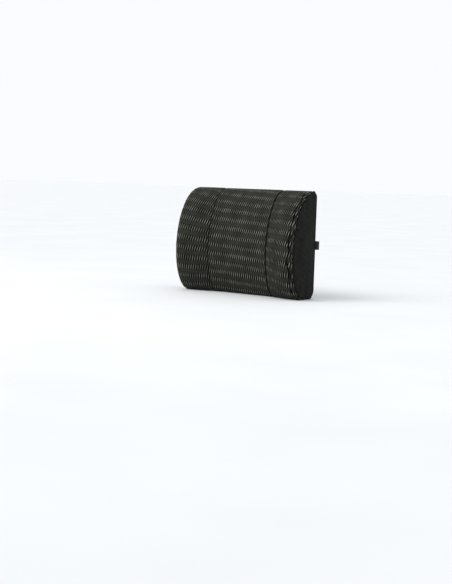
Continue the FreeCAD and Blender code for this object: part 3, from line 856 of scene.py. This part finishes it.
def back_panel(name, upper, seed):
    """The back above or below the zip, flat against the chair, with its edge folded under at the zip."""
    share_of_rows = np.linspace(0, 1, 64 if upper else 20)
    grid = []
    dense = np.linspace(0, 1, 400)
    for x in back_columns():
        line = profile(x, 0.0, "back", dense)
        edge = ZIP_Z + slot_edge(x) if upper else ZIP_Z - slot_edge(x)
        run = lengths(line)
        at = np.interp(edge, line[:, 2], run)
        a, b = (at, run[-1]) if upper else (0.0, at)
        grid.append(at_lengths(line, a + (b - a) * share_of_rows))
    grid = np.array(grid)
    outward = np.zeros_like(grid)
    outward[..., 1] = 1

    def detail(u, v):
        x, z = grid[..., 0], grid[..., 2]
        length = v.max()
        from_zip = v if upper else length - v
        from_seam = length - v if upper else v
        sides = np.minimum(u, u.max() - u)
        move = -0.9 * MM + 0.35 * MM * np.sin(x / 0.043 + seed) * np.sin(z / 0.037 + 1.3)
        move = move - 1.6 * MM * bell(from_seam, 3.5 * MM) * (1 + 0.3 * ripple(u, 21 * MM, seed))
        move -= 1.6 * MM * bell(sides, 3.5 * MM)
        # The stitched fold by the zip.
        move += 0.5 * MM * bell(from_zip - 2.2 * MM, 2.0 * MM)
        move -= 0.5 * MM * bell(from_zip - 5.6 * MM, 0.9 * MM)
        return move, np.zeros_like(move)

    obj = panel_sheet(name, grid, outward, detail, edge_gap=0.2 * MM)
    return placed(obj, "cushion", [name], "back_mesh")


# ---------------------------------------------------------------- sewing thread
def stitches(name, lines, body):
    """Rows of stitches in thread. Each line is (points, normal): points on the cloth and its normal there."""
    stitch = bpy.context.scene.cushion_strap.stitch
    size = np.array([stitch, 0.55 * MM, 0.5 * MM])
    clear_selection()
    bpy.ops.mesh.primitive_uv_sphere_add(segments=6, ring_count=5, radius=0.5)
    shape, faces = shape_of(bpy.context.object)
    points, every = [], []
    for line, normal in lines:
        line, normal = np.asarray(line, float), unit(np.asarray(normal, float))
        whole = lengths(line)[-1]
        count = max(1, int(whole / (stitch * 1.3)))
        for k in range(count):
            middle, next_to_it = at_lengths(line, np.array([k + 0.5, k + 0.52]) / count * whole)
            ahead = unit(next_to_it - middle)
            side = unit(np.cross(normal, ahead))
            start = len(points) * len(shape)
            points.append(middle + (shape * size) @ np.stack([ahead, side, normal]))
            every += [tuple(start + i for i in f) for f in faces]
    obj = add_mesh(name, np.concatenate(points), every)
    obj.data.materials.append(finish_of("thread"))
    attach(obj, body)
    return obj


# ---------------------------------------------------------------- webbing
def smooth_path(points, radii):
    """A flat path through the points, with a round at each inner one, as closely spaced points."""
    points = [np.array(p, float) for p in points]
    path = [points[0]]
    for before, corner, after, radius in zip(points, points[1:], points[2:], radii):
        into, out = unit(corner - before), unit(after - corner)
        turn = math.acos(np.clip(np.dot(into, out), -1, 1))
        hand = math.copysign(1, into[0] * out[1] - into[1] * out[0])
        reach = radius * math.tan(turn / 2)
        first = corner - into * reach
        centre = first + hand * radius * np.array([-into[1], into[0]])
        for angle in np.linspace(0, turn, 2 + int(turn / 0.2)) * hand:
            rotation = np.array([[math.cos(angle), -math.sin(angle)], [math.sin(angle), math.cos(angle)]])
            path.append(centre + rotation @ (first - centre))
    path.append(points[-1])
    line = np.array(path)
    keep = np.concatenate([[True], np.linalg.norm(np.diff(line, axis=0), axis=1) > 1e-6])
    line = line[keep]
    run = lengths(line)
    places = np.unique(np.concatenate([run, np.arange(0, run[-1], 4 * MM)]))
    places = places[np.concatenate([[True], np.diff(places) > 0.05 * MM])]
    return at_lengths(line, places)


def webbing(name, points, radii, body, nodes, seed=0):
    """Elastic webbing on edge along a path in plan, with rounded selvedges and slightly wavy edges."""
    path = smooth_path(points, radii)
    run = lengths(path)
    ahead = unit(np.gradient(path, axis=0))
    side = np.stack([-ahead[:, 1], ahead[:, 0]], axis=1)
    half, thick = STRAP_WIDTH / 2, STRAP_THICK / 2 - 0.05 * MM
    # Half of the section: flat faces drawn in to a rounded selvedge.
    across = np.concatenate([np.linspace(-0.9, 0.9, 13), [0.97, 1.0, 0.97]])
    level = np.concatenate([np.full(13, 1.0), [0.75, 0.0, -0.75]])
    section = np.concatenate([np.stack([across, level], 1), -np.stack([across, level], 1)])
    edge = 0.12 * MM * ripple(run, 30 * MM, seed)
    grid, uvs = [], []
    for k, (place, sideways) in enumerate(zip(path, side)):
        heights = STRAP_Z + section[:, 0] * (half + edge[k])
        offset = section[:, 1] * thick
        grid.append(np.stack([place[0] + sideways[0] * offset, place[1] + sideways[1] * offset, heights], 1))
        uvs.append(np.stack([np.full(len(section), run[k]), section[:, 0] * half], 1))
    count = len(section)
    points3 = np.concatenate(grid)
    faces = [tuple(f) for f in loop_faces(len(path), count)]
    last = (len(path) - 1) * count
    faces += [tuple(range(count)), tuple(last + j for j in reversed(range(count)))]
    obj = add_mesh(name, points3, faces, np.concatenate(uvs))
    mend_normals(obj)
    return placed(obj, body, nodes, "webbing")


def mend_normals(obj):
    bm = bmesh.new()
    bm.from_mesh(obj.data)
    bmesh.ops.remove_doubles(bm, verts=bm.verts, dist=1e-6)
    bmesh.ops.recalc_face_normals(bm, faces=bm.faces)
    bm.to_mesh(obj.data)
    bm.free()


def corner_path(side):
    """From inside the corner seam round to the straight run, at the right (+1) or the left (-1)."""
    points = [(END_X + 6 * MM, SWING_Y), (STRAP_OUT, SWING_Y), (STRAP_OUT, SWING_Y + 9 * MM)]
    points.append((RUN_START, RUN_Y))
    return [(side * x, y) for x, y in points], [5 * MM, 5 * MM, 40 * MM]


# ---------------------------------------------------------------- hard pieces
def coil_row(name, side):
    """One row of the zip: a loop of nylon for each turn of the coil, modelled once and repeated."""
    settings = bpy.context.scene.cushion_strap
    low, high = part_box(name)
    centre = (low + high) / 2
    clear_selection()
    bpy.ops.mesh.primitive_torus_add(
        major_segments=12,
        minor_segments=5,
        major_radius=1.0 * MM,
        minor_radius=0.33 * MM,
        location=(0, 0, 0),
        rotation=(0, math.radians(90), 0),
    )
    bpy.ops.object.transform_apply(location=True, rotation=True, scale=True)
    bpy.ops.object.mode_set(mode="EDIT")
    bpy.ops.mesh.select_all(action="SELECT")
    bpy.ops.transform.resize(value=(1.0, 1.0, 1.35), center_override=(0, 0, 0))
    bpy.ops.transform.rotate(value=math.radians(9), orient_axis="Z", center_override=(0, 0, 0))
    bpy.ops.object.mode_set(mode="OBJECT")
    shape, faces = shape_of(bpy.context.object)
    places = np.arange(low[0] + 1 * MM, high[0] - 0.5 * MM, settings.tooth_pitch)
    if side < 0:
        places = places + settings.tooth_pitch / 2
    middle = np.array([0, centre[1] + 0.1 * MM, centre[2] - side * 0.15 * MM])
    points = np.concatenate([shape + middle + [x, 0, 0] for x in places])
    every = np.concatenate([np.array(faces) + k * len(shape) for k in range(len(places))])
    obj = add_mesh(name + "_turns", points, every)
    mend_normals(obj)
    return placed(obj, "cushion", [name], "zip_coil")


def label_piece():
    """A blank woven label whose lower edge lifts a little."""
    low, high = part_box("care_label")
    size, centre = high - low, (low + high) / 2
    clear_selection()
    bpy.ops.mesh.primitive_cube_add(size=1, location=centre)
    obj = bpy.context.object
    obj.name = "blank_label"
    obj.scale = size
    bpy.ops.object.transform_apply(location=True, rotation=True, scale=True)
    bpy.ops.object.mode_set(mode="EDIT")
    bpy.ops.mesh.select_all(action="SELECT")
    bpy.ops.mesh.subdivide(number_cuts=8)
    bpy.ops.object.mode_set(mode="OBJECT")
    for vertex in obj.data.vertices:
        down = (high[2] - vertex.co.z) / size[2]
        across = (vertex.co.x - centre[0]) / size[0]
        vertex.co.y += (1.3 * down**2 * (0.6 + 0.4 * math.sin(5 * across)) - 0.5) * MM
    for polygon in obj.data.polygons:
        polygon.use_smooth = True
    bpy.ops.object.modifier_add(type="BEVEL")
    obj.modifiers[-1].width = 0.15 * MM
    bpy.ops.object.modifier_apply(modifier=obj.modifiers[-1].name)
    obj.data.materials.clear()
    return placed(obj, "cushion", ["care_label"], "label")


def closed_form(name, inset, key):
    """The cushion's form drawn in all round, as a closed piece that fills the cover."""
    rounds = [x_at(turn, inset) for turn in np.linspace(0, math.pi / 2, 9)[1:]]
    half = list(np.linspace(0, END_X, 30)) + rounds
    rows = []
    for x in [-x for x in reversed(half[1:])] + half:
        front = profile(x, inset, "front", np.linspace(0, 1, 60))
        back = profile(x, inset, "back", np.linspace(0, 1, 30)[1:-1])
        rows.append(np.concatenate([front, back]))
    grid = np.array(rows)
    count = grid.shape[1]
    middles = [grid[0].mean(axis=0), grid[-1].mean(axis=0)]
    points = np.concatenate([grid.reshape(-1, 3), middles])
    faces = [tuple(f) for f in loop_faces(len(grid), count)]
    faces += fan(range(count), len(points) - 2)
    faces += [face[::-1] for face in fan(range(len(points) - 2 - count, len(points) - 2), len(points) - 1)]
    obj = add_mesh(name, points, faces)
    mend_normals(obj)
    return placed(obj, "cushion", [name], key)


def dress(key, *names):
    """Gives CAD nodes their finish."""
    for name in names:
        for slot in frame["nodes"][name].material_slots:
            slot.material = finish_of(key)


# ---------------------------------------------------------------- operators
class CUSHION_OT_inside(bpy.types.Operator):
    """Make the foam core and its knitted liner"""

    bl_idname = "cushion.inside"
    bl_label = "Foam and liner"

    def execute(self, context):
        closed_form("foam_core", 6.3 * MM, "foam")
        closed_form("inner_liner", 5.2 * MM, "liner_knit")
        return {"FINISHED"}


class CUSHION_OT_cover(bpy.types.Operator):
    """Make the ribbed front panels, the end panels and the back panels"""

    bl_idname = "cushion.cover"
    bl_label = "Mesh cover"

    def execute(self, context):
        rings, middle, _ = end_form()
        front, shift = settled(front_form(), rings, middle)
        # Only the seam on the left of the centre panel is slack.
        tight, slack = 1.0, 0.35
        cuts = [
            ("front_centre_panel", -SEAM_X, SEAM_X, 0.07, 8 * MM, (slack, tight), 11),
            ("front_left_panel", -END_SEAM_X, -SEAM_X, 0.12, 5 * MM, (tight, slack), 23),
            ("front_right_panel", SEAM_X, END_SEAM_X, 0.08, 10 * MM, (tight, tight), 37),
        ]
        for name, low_x, high_x, skew, start, seams, seed in cuts:
            front_panel(name, front, low_x, high_x, skew, start, seams, seed)
        end_panel("right_end_panel", shift, side=1, pucker=1.0, seed=5)
        end_panel("left_end_panel", shift, side=-1, pucker=0.3, seed=8)
        back_panel("back_upper_panel", upper=True, seed=4)
        back_panel("back_lower_panel", upper=False, seed=19)
        return {"FINISHED"}


class CUSHION_OT_zip(bpy.types.Operator):
    """Make the zip's teeth and stitching, and finish its tapes, stops, slider and pull tab"""

    bl_idname = "cushion.zip"
    bl_label = "Zip"

    def execute(self, context):
        coil_row("zip_upper_coil", 1)
        coil_row("zip_lower_coil", -1)
        dress("zip_tape", "zip_upper_tape", "zip_lower_tape")
        dress("zip_metal", "zip_top_stops", "zip_bottom_stop", "zip_slider", "zip_pull_tab")
        lines = []
        for side in (1, -1):
            z = ZIP_Z + side * 8.4 * MM
            reach = ZIP_HALF + 4 * MM
            lines.append(([(-reach, BACK_Y - 0.75 * MM, z), (reach, BACK_Y - 0.75 * MM, z)], (0, 1, 0)))
        stitches("zip_stitching", lines, "cushion")
        label_piece()
        return {"FINISHED"}


class CUSHION_OT_strap(bpy.types.Operator):
    """Make the webbing of the strap and its stitching"""

    bl_idname = "cushion.strap"
    bl_label = "Strap"

    def execute(self, context):
        points, radii = corner_path(1)
        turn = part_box("strap_right")[0][0] + STRAP_THICK / 2
        join_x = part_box("strap_return")[0][0]
        path = points + [(turn, RUN_Y), (turn, INNER_Y), (join_x, INNER_Y)]
        nodes = ["strap_right", "strap_right_sewn_end"]
        right = webbing("strap_right", path, radii + [BAR_TURN] * 2, None, nodes, 1)
        points, radii = corner_path(-1)
        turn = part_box("strap_left")[1][0] - STRAP_THICK / 2
        bar = turn - BAR_TURN
        # Round the bar and back, to lie under itself where it is sewn.
        tail = [(turn, RUN_Y), (turn, INNER_Y), (bar - 4 * MM, INNER_Y)]
        tail += [(bar - 12 * MM, TAIL_Y), (bar - 30 * MM, TAIL_Y)]
        radii = radii + [BAR_TURN, BAR_TURN, 6 * MM, 6 * MM]
        nodes = ["strap_left", "strap_left_sewn_end"]
        left = webbing("strap_left", points + tail, radii, None, nodes, 2)
        for piece, side in ((right, 1), (left, -1)):
            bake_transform(piece)
        first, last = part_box("strap_return")[0][0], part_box("strap_return")[1][0]
        layer = webbing("strap_return", [(first, INNER_Y), (last, INNER_Y)], [], "strap", ["strap_return"], 3)
        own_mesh(layer)
        low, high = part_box("strap_end_loop")
        near, far = low[1] + STRAP_THICK / 2, high[1] - STRAP_THICK / 2
        sewn = INNER_Y + STRAP_THICK + 0.15 * MM
        turn = high[0] - STRAP_THICK / 2
        a, b = low[0] + 18 * MM, low[0] + 26 * MM
        path = [(low[0], INNER_Y), (a, INNER_Y), (b, near), (turn, near), (turn, far), (b, far), (a, sewn)]
        path.append((low[0] + 4 * MM, sewn))
        radii = [6 * MM, 6 * MM, BAR_TURN, BAR_TURN, 6 * MM, 6 * MM]
        webbing("strap_end_loop", path, radii, "adjuster", ["strap_end_loop"], 4)
        outer, inner = RUN_Y + STRAP_THICK / 2, TAIL_Y - STRAP_THICK / 2
        self.box_stitch("strap_left_stitching", (bar - 29 * MM, bar - 14 * MM), (outer, inner), "strap")
        outer, inner = sewn + STRAP_THICK / 2, INNER_Y - STRAP_THICK / 2
        self.box_stitch("end_loop_stitching", (low[0] + 5 * MM, low[0] + 16 * MM), (outer, inner), "adjuster")
        return {"FINISHED"}

    def box_stitch(self, name, x, faces, body):
        """A sewn box with a cross in it, on both faces of the webbing."""
        lines = []
        half = STRAP_WIDTH / 2 - 2.5 * MM
        for y, facing in zip(faces, (1, -1)):
            corners = [(x[0], y, STRAP_Z - half), (x[1], y, STRAP_Z - half), (x[1], y, STRAP_Z + half)]
            corners += [(x[0], y, STRAP_Z + half), (x[0], y, STRAP_Z - half), (x[1], y, STRAP_Z + half)]
            corners += [(x[1], y, STRAP_Z - half), (x[0], y, STRAP_Z + half)]
            for a, b in zip(corners, corners[1:]):
                if (a, b) != (corners[5], corners[6]):
                    lines.append(([a, b], (0, facing, 0)))
        stitches(name, lines, body)


class CUSHION_OT_hardware(bpy.types.Operator):
    """Finish the buckle and the adjuster"""

    bl_idname = "cushion.hardware"
    bl_label = "Buckle and adjuster"

    def execute(self, context):
        dress("hardware", "buckle_socket", "buckle_plug", "buckle_upper_prong", "buckle_lower_prong")
        dress("hardware", "strap_adjuster")
        return {"FINISHED"}


class CUSHION_OT_stage(bpy.types.Operator):
    """Make the floor, the light and the camera"""

    bl_idname = "cushion.stage"
    bl_label = "Stage"

    def execute(self, context):
        settings = context.scene.cushion_stage
        self.floor()
        self.lights(context)
        back = Vector((
            math.sin(settings.azimuth) * math.cos(settings.elevation),
            -math.cos(settings.azimuth) * math.cos(settings.elevation),
            math.sin(settings.elevation),
        ))
        data = bpy.data.cameras.new("camera")
        data.lens = 74.0
        data.clip_start, data.clip_end = 0.05, 100
        camera = bpy.data.objects.new("camera", data)
        context.scene.collection.objects.link(camera)
        target = Vector((0, BACK_Y, HEIGHT / 2))
        # The camera leans a little, and looks below and to the left of the cushion.
        roll, aside, above = math.radians(1.9), 0.0252, 0.0423
        right = (-back).cross(Vector((0, 0, 1))).normalized()
        up = right.cross(-back)
        right, up = right * math.cos(roll) + up * math.sin(roll), up * math.cos(roll) - right * math.sin(roll)
        ahead = (-back - right * aside - up * above).normalized()
        right = ahead.cross(up).normalized()
        up = right.cross(ahead)
        turn = Matrix((right, up, -ahead)).transposed().to_4x4()
        camera.matrix_world = Matrix.Translation(target + back * settings.distance) @ turn
        context.scene.camera = camera
        context.scene.view_settings.view_transform = "Standard"
        return {"FINISHED"}

    def floor(self):
        clear_selection()
        bpy.ops.mesh.primitive_grid_add(x_subdivisions=24, y_subdivisions=24, size=60, location=(0, 0, 0))
        floor = bpy.context.object
        floor.name = "floor"
        material, shader = new_material("floor, painted white", 0.85)
        place = node(material, "ShaderNodeTexCoord").outputs["Object"]
        colour = ramp(material, noise(material, place, 3.0, 2.0), [(0.2, "#dcddde"), (0.8, "#e2e3e3")])
        join(material, colour, shader.inputs["Base Color"])
        floor.data.materials.append(material)

    def lights(self, context):
        world = bpy.data.worlds.new("soft white room")
        world.use_nodes = True
        world.node_tree.nodes["Background"].inputs["Color"].default_value = srgb("#fafcff")
        world.node_tree.nodes["Background"].inputs["Strength"].default_value = 1.0
        context.scene.world = world
        lamps = [
            ("key", "SUN", (-1.0, -1.7, 2.3), math.radians(35), 1.25),
            ("fill", "AREA", (-0.7, -1.3, 1.5), 0.9, 5.0),
        ]
        for name, kind, place, size, power in lamps:
            data = bpy.data.lights.new(name, kind)
            if kind == "SUN":
                data.angle = size
            else:
                data.shape, data.size = "DISK", size
            data.energy = power
            lamp = bpy.data.objects.new(name, data)
            context.scene.collection.objects.link(lamp)
            away = Vector(place) - Vector((0, 0, HEIGHT / 2))
            lamp.matrix_world = Matrix.Translation(place) @ away.to_track_quat("Z", "Y").to_matrix().to_4x4()


class CUSHION_PT_panel(bpy.types.Panel):
    """Lists the cushion's settings and pieces"""

    bl_idname = "CUSHION_PT_panel"
    bl_label = "Lumbar cushion"
    bl_space_type = "VIEW_3D"
    bl_region_type = "UI"
    bl_category = "Cushion"

    def draw(self, context):
        scene = context.scene
        for settings in (scene.cushion_cover, scene.cushion_strap, scene.cushion_stage):
            for name in settings.__annotations__:
                self.layout.prop(settings, name)
        for operator in OPERATORS:
            self.layout.operator(operator.bl_idname)


OPERATORS = (
    CUSHION_OT_inside,
    CUSHION_OT_cover,
    CUSHION_OT_zip,
    CUSHION_OT_strap,
    CUSHION_OT_hardware,
    CUSHION_OT_stage,
)
CLASSES = (CoverSettings, StrapSettings, StageSettings) + OPERATORS + (CUSHION_PT_panel,)


def register():
    for made in CLASSES:
        bpy.utils.register_class(made)
    bpy.types.Scene.cushion_cover = bpy.props.PointerProperty(type=CoverSettings)
    bpy.types.Scene.cushion_strap = bpy.props.PointerProperty(type=StrapSettings)
    bpy.types.Scene.cushion_stage = bpy.props.PointerProperty(type=StageSettings)


def unregister():
    del bpy.types.Scene.cushion_cover, bpy.types.Scene.cushion_strap, bpy.types.Scene.cushion_stage
    for made in reversed(CLASSES):
        bpy.utils.unregister_class(made)


def main():
    register()
    bpy.ops.cushion.inside()
    bpy.ops.cushion.cover()
    bpy.ops.cushion.zip()
    bpy.ops.cushion.strap()
    bpy.ops.cushion.hardware()
    bpy.ops.cushion.stage()


if __name__ == "__main__":
    main()
